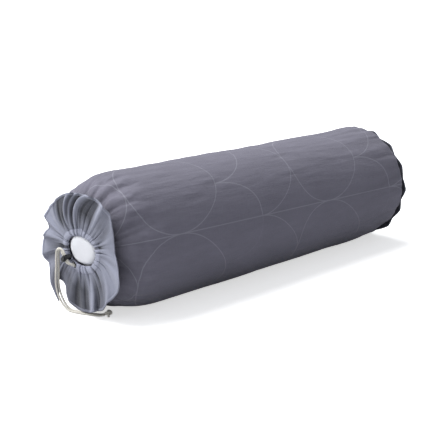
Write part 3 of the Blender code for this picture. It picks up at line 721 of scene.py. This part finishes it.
def ringTable(rows, columns, lean):
    # even steps along the hem, with crisp folds eased a little; a fold that stands out also leans sideways and up
    table = np.array(rows, float)
    proud = table[:, 3] - frillSizes["level"]
    leftward = -table[:, 2] * np.cos(np.radians(table[:, 1])) - lean[0] * proud
    upward = table[:, 2] * np.sin(np.radians(table[:, 1])) + lean[1] * proud
    table[:, 2] = np.hypot(leftward, upward)
    table[:, 1] = np.unwrap(np.degrees(np.arctan2(upward, -leftward)), period=360)
    table = np.vstack([table, table[0] + (360, 360, 0, 0, 0)])
    hemX = table[:, 2] * np.cos(np.radians(table[:, 1]))
    hemY = table[:, 2] * np.sin(np.radians(table[:, 1]))
    steps = np.sqrt(np.diff(hemX) ** 2 + np.diff(hemY) ** 2 + np.diff(table[:, 3]) ** 2) + 2.5
    place = np.concatenate([[0], np.cumsum(steps)])
    at = np.linspace(0, place[-1], columns, endpoint=False)
    fields = []
    for k in range(5):
        values = np.interp(at, place, table[:, k])
        turning = np.linspace(0, 360, columns, endpoint=False) if k < 2 else 0
        fields.append(smoothRing(values - turning, frillSizes["crisp"]) + turning)
    return fields


def mouthRadius(end, degrees):
    if end is farEnd:
        return np.full(len(degrees), channelRadius * 1000 - 6.0) + np.array(
            [1.2 * ringNoise(radians(a), 1.5, 2.0, 5.0) for a in degrees])
    outline = np.array([*mouthOutline, (360, mouthOutline[0][1])], float)
    return smoothRing(np.interp(degrees % 360, outline[:, 0], outline[:, 1]), 8)


def makeEnd(end, rows):
    count = frillSizes["columns"]
    mouth, hem, hemRadius, rise, panel = ringTable(rows, count, frillSizes["lean"] if end is nearEnd else (0, 0))
    hole = mouthRadius(end, mouth) / 1000
    side, front, back = end["side"], end["front"], end["back"]
    depth = front - back
    gather = np.array([gatherWave(radians(a), 6.2, 1.0, end["seed"] + 1) for a in mouth])
    gatherWide = np.array([gatherWave(radians(a), 3.0, 2.0, end["seed"] + 2) for a in mouth])
    eyeletAt = (180 - np.degrees(eyeletAngle)) % 360 if end is nearEnd else frillSizes["farEyelet"]
    away = np.abs((mouth - eyeletAt + 180) % 360 - 180)
    calm = 1 - np.exp(-(away / 9.0) ** 2)
    gather = gather * calm + 0.2 * (1 - calm)

    def spot(radius, degrees, out):
        angle = np.radians(degrees)
        return np.stack([side * out, -radius * np.cos(angle), axisHeight + radius * np.sin(angle)], -1)

    def clothMap(first, last, rows):
        around = np.linspace(0, tau * bodyRadius, count + 1)
        return np.stack(np.meshgrid(around, np.linspace(first, last, rows)), -1)

    # the tunnel, a soft flattened tube with its gathers
    section = frillSizes["section"]
    ring, shade = np.zeros((section + 1, count, 3)), np.zeros((section + 1, count))
    width = frillSizes["ringWidth"]
    for i in range(section + 1):
        turn = tau * i / section
        flatOut = np.sign(cos(turn)) * abs(cos(turn)) ** 0.75
        flatUp = np.sign(sin(turn)) * abs(sin(turn)) ** 0.8
        swell = frillSizes["swell"] * (gather + 0.35) * (0.4 + 0.6 * max(0, cos(turn)) + 0.4 * abs(sin(turn)))
        slope = 1 - 0.42 * max(0.0, flatUp)
        out = (front + back) / 2 + flatOut * (depth / 2 - 0.0004) * slope + (1 if cos(turn) > 0 else 0.2) * swell * 0.8
        radius = hole + width / 2 + flatUp * (width / 2 + swell)
        ring[i] = spot(radius, mouth, out)
        shade[i] = np.clip(-gather, 0, 1) * (0.9 if cos(turn) > -0.3 else 0.4)
    ring[section] = ring[0]
    channel = gridPiece(end["name"] + "Channel", ring, clothMap(0, 0.036, section + 1), shade)
    reshape(channel.data, closeRing)
    flipTo(channel, lambda c: c - nearestCentre(c, end))

    # the frill, from the tunnel's outer edge out to the hem
    levels = frillSizes["rows"]
    sheet, shade = np.zeros((levels, count, 3)), np.zeros((levels, count))
    root = hole + width - 0.0012
    for i in range(levels):
        t = i / (levels - 1)
        degreesAt = mouth + (hem - mouth) * (t**1.5 if end is nearEnd else t)
        radius = root + (hemRadius / 1000 - root) * t
        near = np.exp(-t / frillSizes["gatherReach"])
        middle = t * (1 - t) * 4
        soft = [noise.noise(Vector((3.1 * cos(a), 3.1 * sin(a), t * 2.2 + end["seed"]))) for a in np.radians(degreesAt)]
        out = (back + depth * 0.62 + rise / 1000 * t**1.15 + frillSizes["gather"] * gather * near
               + 0.0016 * gatherWide * middle + frillSizes["soft"] * np.array(soft) * t)
        sheet[i] = spot(radius, degreesAt, out)
        shade[i] = (np.clip(-gather * near * 1.3, 0, 1) + np.clip(-gatherWide * middle * 0.4, 0, 1)
                    + 0.25 * (1 - t) ** 3 + 0.1 + panel * min(1.0, t * 2.2) * 0.85)
    sheet[:, :, 2] = np.maximum(sheet[:, :, 2], 0.0012)
    frillPiece = gridPiece(end["name"] + "Frill", sheet, clothMap(0.04, 0.11, levels), shade)
    flipTo(frillPiece, lambda c: Vector((side, 0, 0)))
    thicken(frillPiece, frillSizes["wall"], reverse="frillReverseShaded")

    # the turned hem, a double band along the edge
    span = np.linalg.norm(sheet[-1] - sheet[-2], axis=-1).mean()
    bands = max(3, int(frillSizes["hemWidth"] / span) + 1)
    band = sheet[levels - bands:].copy()
    band[-1] += (sheet[-1] - sheet[-2]) * 0.15
    band[:, :, 2] = np.maximum(band[:, :, 2], 0.0014)
    hemPiece = gridPiece(end["name"] + "Hem", band, clothMap(0.1, 0.11, bands), shade[levels - bands:] * 0.5)
    flipTo(hemPiece, lambda c: Vector((side, 0, 0)))
    thicken(hemPiece, frillSizes["hemWall"], reverse="frillReverseShaded")

    # its row of stitches, and the two rows that close the tunnel
    normal = side * (frillSizes["hemWall"] / 2 + 0.0001)
    sewn = [sheet[levels - bands] + np.array((normal, 0, 0))]
    hemStitches = stitches(end["name"] + "HemStitches", sewn)
    ringRows = [ring[int(section * share)] + np.array((side * 0.0003, 0, 0)) for share in (0.12, 0.86)]
    ringStitches = stitches(end["name"] + "ChannelStitches", ringRows, pitch=0.0026)

    # the string inside the tunnel, broken at the eyelet
    inside = [k for k in range(count) if away[k] > frillSizes["stringGap"]]
    first = next((n for n in range(len(inside)) if (inside[n] - inside[n - 1]) % count != 1), 0)
    inside = inside[first:] + inside[:first]
    string = []
    for k in inside[::3]:
        radius = hole[k] + width / 2
        angle = radians(mouth[k])
        string.append(Vector((side * (front + back) / 2, -radius * cos(angle), axisHeight + radius * sin(angle))))
    drawstring = twistedCord(end["name"] + "Drawstring", string)
    return channel, frillPiece, hemPiece, hemStitches, ringStitches, drawstring


def nearestCentre(point, end):
    # the middle of the tunnel's section beside a point
    out = Vector((0, point.y, point.z - axisHeight))
    centre = out.normalized() * (channelRadius if end is farEnd else out.length)
    return Vector((end["side"] * (end["front"] + end["back"]) / 2, centre.y, centre.z + axisHeight))


def closeRing(bm):
    weld(bm)
    bmesh.ops.recalc_face_normals(bm, faces=bm.faces)


nearPieces = makeEnd(nearEnd, nearFolds)
farPieces = makeEnd(farEnd, farFolds())
print("gathered ends ready")


innerSizes = {"inset": 0.0055, "around": 160, "bulge": 0.0118, "flat": 11.0, "spill": 0.0010, "seamRadius": 0.1,
              "bead": 0.0012}


def makeInnerEnd(end):
    rows, count, inset = 60, innerSizes["around"], innerSizes["inset"]
    points, cloth = np.zeros((rows, count, 3)), np.zeros((rows, count + 1, 2))
    nodeLow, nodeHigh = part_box("inner_end_" + end["name"])
    peak = -nodeLow.x if end is nearEnd else nodeHigh.x
    holes = mouthRadius(end, (180 - np.arange(count) / count * 360) % 360) / 1000
    for i in range(rows):
        radius = 0.0006 + (innerSizes["seamRadius"] - 0.0006) * i / (rows - 1)
        angle = asin(min(1.0, (radius / (bodyRadius - inset)) ** (1 / end["power"])))
        out, _ = shoulderSpot(end, angle, inset)
        for j in range(count):
            turn = tau * j / count
            y, z = radius * cos(turn), radius * sin(turn)
            dome = innerSizes["bulge"] * max(0.0, 1 - (radius / (holes[j] + innerSizes["spill"])) ** innerSizes["flat"])
            crease = 0.0008 * noise.noise(Vector((y * 38, z * 38, end["seed"])))
            pucker = 0.0012 * gatherWave(turn, 5.0, 3.0, end["seed"]) * (radius / innerSizes["seamRadius"]) ** 6
            slim = slimmed(out, turn) - 0.02 * (radius / innerSizes["seamRadius"]) ** 2
            proud = min(out + dome + crease + pucker, peak + 0.002)
            points[i, j] = (end["side"] * proud, y * slim, axisHeight + z * slim)
        cloth[i, :, 0] = radius
        cloth[i, :, 1] = tau * np.arange(count + 1) / count * 0.05
    piece = gridPiece("innerEnd" + end["name"].title(), points, cloth, None, "casingCloth")
    reshape(piece.data, closeHole)
    flipTo(piece, lambda c: Vector((end["side"], 0, 0)))
    return thicken(piece, 0.0008, -1.0)


def closeHole(bm):
    middle = Vector((0, axisHeight))
    ring = [edge for edge in bm.edges if edge.is_boundary and (edge.verts[0].co.yz - middle).length < 0.002]
    bmesh.ops.edgeloop_fill(bm, edges=ring)


def makeInnerTube():
    count, inset = innerSizes["around"], innerSizes["inset"]
    profile = sleeveLine(innerSizes["seamRadius"], 10, 60, inset)
    points, cloth = np.zeros((len(profile), count, 3)), np.zeros((len(profile), count + 1, 2))
    for i, (x, radius) in enumerate(profile):
        endSlim = 0.02 * min(1.0, max(0.0, 1 - (nearEnd["face"] - abs(x)) / 0.06))
        for j in range(count):
            turn = tau * j / count
            soft = 0.0005 * noiseAround(turn, 3, x * 9) - 0.0016
            size = (radius + soft) * (slimmed(x, turn) - endSlim)
            points[i, j] = (x, size * cos(turn), max(axisHeight + size * sin(turn), inset + 0.0006))
        cloth[i, :, 0] = x
        cloth[i, :, 1] = tau * np.arange(count + 1) / count * bodyRadius
    piece = gridPiece("innerCasing", points, cloth, None, "casingCloth")
    flipTo(piece, lambda c: Vector((0, c.y, c.z - axisHeight)))
    return thicken(piece, 0.0008, -1.0)


def makeInnerSeam(end):
    inset = innerSizes["inset"]
    angle = asin((innerSizes["seamRadius"] / (bodyRadius - inset)) ** (1 / end["power"]))
    out, radius = shoulderSpot(end, angle, inset)
    line = []
    for i in range(160):
        turn = tau * i / 160
        size = (radius - 0.0003) * (slimmed(out, turn) - 0.02)
        line.append(Vector((end["side"] * (out - 0.0004), size * cos(turn), axisHeight + size * sin(turn))))
    return follow(f"innerSeam{end['name'].title()}", stitchTree, [line], True, Pitch=0.0030, Length=0.0028,
                  Thread=innerSizes["bead"], Material=materials["threadWhite"])


innerCasing = makeInnerTube()
innerEndNear = makeInnerEnd(nearEnd)
innerEndFar = makeInnerEnd(farEnd)
innerSeamNear = makeInnerSeam(nearEnd)
innerSeamFar = makeInnerSeam(farEnd)


fillCloth = {"quality": 4, "tension": 10.0, "bending": 0.1, "pressure": 4.0, "shrink": 0.0, "limit": 0.0015,
             "floor": 0.005}


fillSizes = {"voxel": 0.008, "lump": 0.0012, "inset": 0.0072, "under": 0.008, "endFrom": 0.3, "endSlim": 0.03,
             "share": 0.98}


def makeFill():
    # the fibre, a soft lumpy core just inside the casing
    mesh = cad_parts["core_fill"].data.copy()
    mesh.name = "coreFill"
    piece = addPiece("coreFill", mesh)
    reshape(mesh, weld)
    remesh = piece.modifiers.new("even", "REMESH")
    remesh.mode = "VOXEL"
    remesh.voxel_size = fillSizes["voxel"]
    bpy.context.view_layer.update()
    even = bpy.data.meshes.new_from_object(piece.evaluated_get(bpy.context.evaluated_depsgraph_get()))
    piece.modifiers.clear()
    piece.data = even
    for vert in even.vertices:
        out = Vector((0, vert.co.y, vert.co.z - axisHeight))
        lump = noise.noise(vert.co * 22) * fillSizes["lump"] - fillSizes["inset"]
        if out.length > 0.02:
            endSlim = fillSizes["endSlim"] * (abs(vert.co.x) > fillSizes["endFrom"])
            out = out * (slimmed(vert.co.x, np.arctan2(out.z, out.y)) - endSlim) + out.normalized() * lump
            vert.co.y, vert.co.z = out.y, max(axisHeight + out.z, fillSizes["under"])
        vert.co.x *= fillSizes["share"]
    even.materials.clear()
    even.materials.append(materials["fibreFill"])
    even.shade_smooth()
    settle(piece, [], fillCloth)
    return piece


coreFill = makeFill()
print("inner bolster ready")


# what each piece stands for, and what it moves with
nearChannel, nearFrill, nearHem, nearHemStitches, nearRingStitches, nearDrawstring = nearPieces
farChannel, farFrill, farHem, farHemStitches, farRingStitches, farDrawstring = farPieces
standIns = (
    (coverBody, "cover_body", "cover_cloth"), (nearChannel, "near_channel", "frill_cloth"),
    (nearFrill, "near_frill", "frill_cloth"), (nearHem, "near_hem", "frill_cloth"),
    (farChannel, "far_channel", "frill_cloth"), (farFrill, "far_frill", "frill_cloth"),
    (farHem, "far_hem", "frill_cloth"), (nearDrawstring, "near_drawstring", "cord_cotton"),
    (farDrawstring, "far_drawstring", "cord_cotton"), (innerCasing, "inner_casing", "casing_cloth"),
    (innerEndNear, "inner_end_near", "casing_cloth"), (innerEndFar, "inner_end_far", "casing_cloth"),
    (innerSeamNear, "inner_seam_near", "casing_cloth"), (innerSeamFar, "inner_seam_far", "casing_cloth"),
    (coreFill, "core_fill", "fill"), (tails[0][0], "cord_tail_left", "cord_cotton"),
    (tails[1][0], "cord_tail_right", "cord_cotton"), (cordKnot, "cord_knot", "cord_cotton"),
)
for piece, node, slotName in standIns:
    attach(piece, "bolster")
    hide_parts(node)
for piece in (nearHemStitches, nearRingStitches, farHemStitches, farRingStitches, sleeveSeam):
    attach(piece, "bolster")

for nodeName, materialName in (("lock_barrel", "lockPlastic"), ("lock_plunger", "lockPlastic"),
                               ("lock_spring", "springSteel"), ("near_eyelet", "eyeletPlating"),
                               ("far_eyelet", "eyeletPlating")):
    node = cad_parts[nodeName]
    node.data.materials.clear()
    node.data.materials.append(materials[materialName])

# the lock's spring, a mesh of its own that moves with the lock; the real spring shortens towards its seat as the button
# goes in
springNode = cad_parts["lock_spring"]
lockSpring = addPiece("lockSpring", springNode.data.copy())
lockSpring.matrix_world = springNode.matrix_world
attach(lockSpring, "lock")
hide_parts("lock_spring")
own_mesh(lockSpring)


def whereSeen(tree, socket, seen, unseen):
    # one value for the camera and another for the light that bounces
    path = tree.nodes.new("ShaderNodeLightPath")
    if isinstance(seen, tuple):
        tree.links.new(blendColour(tree, path.outputs["Is Camera Ray"], unseen, seen), socket)
    else:
        tree.links.new(mathNode(tree, "MULTIPLY_ADD", path.outputs["Is Camera Ray"], seen - unseen, unseen), socket)


def makeStage():
    bpy.ops.mesh.primitive_plane_add(size=80, location=(0, 0, 0))
    floor = bpy.context.object
    floor.name = "floor"
    paint, tree, shader = newMaterial("paleFloor", 0.9)
    setInputs(tree, shader, {"Specular IOR Level": 0.0, "Emission Color": (1, 1, 1)})
    whereSeen(tree, shader.inputs["Base Color"], (0.95, 0.95, 0.95), (0.56, 0.56, 0.57))
    whereSeen(tree, shader.inputs["Emission Strength"], 0.6, 0.0)
    floor.data.materials.append(paint)


lights = {
    "overhead": {"kind": "SUN", "spot": (-0.3, 0.5, 1.0), "spread": 0.9, "power": 4.6},
    "fromLeft": {"kind": "AREA", "spot": (-2.0, 0.5, 0.8), "spread": 1.2, "power": 10},
    "front": {"kind": "AREA", "spot": (-0.9, -2.1, 0.9), "spread": 1.6, "power": 4},
}


def makeLights():
    for name, look in lights.items():
        data = bpy.data.lights.new(name, look["kind"])
        if look["kind"] == "SUN":
            data.angle = look["spread"]
        else:
            data.shape = "SQUARE"
            data.size = look["spread"]
        data.energy = look["power"]
        lamp = addPiece(name, data)
        lamp.location = look["spot"]
        lamp.rotation_euler = (Vector((0, 0, 0.1)) - Vector(look["spot"])).to_track_quat("-Z", "Y").to_euler()
    world = bpy.data.worlds.new("studio")
    bpy.context.scene.world = world
    world.use_nodes = True
    plain = world.node_tree.nodes["Background"]
    whereSeen(world.node_tree, plain.inputs["Color"], (1, 1, 1), (0.9, 0.94, 1.0))
    whereSeen(world.node_tree, plain.inputs["Strength"], 1.0, 0.3)
    bpy.context.scene.view_settings.view_transform = "Standard"


cameraSizes = {"lens": 75.22, "spot": (-1.2297, -1.2240, 0.5651), "aim": (-0.0477, 0.0, 0.0965)}


def makeCamera():
    data = bpy.data.cameras.new("camera")
    data.lens = cameraSizes["lens"]
    data.sensor_width = 36
    camera = addPiece("camera", data)
    camera.location = cameraSizes["spot"]
    aim = Vector(cameraSizes["aim"]) - Vector(cameraSizes["spot"])
    camera.rotation_euler = aim.to_track_quat("-Z", "Y").to_euler()
    bpy.context.scene.camera = camera


makeStage()
makeLights()
makeCamera()
print("stage ready")


def corners(box):
    return [[float(value) for value in corner] for corner in box]
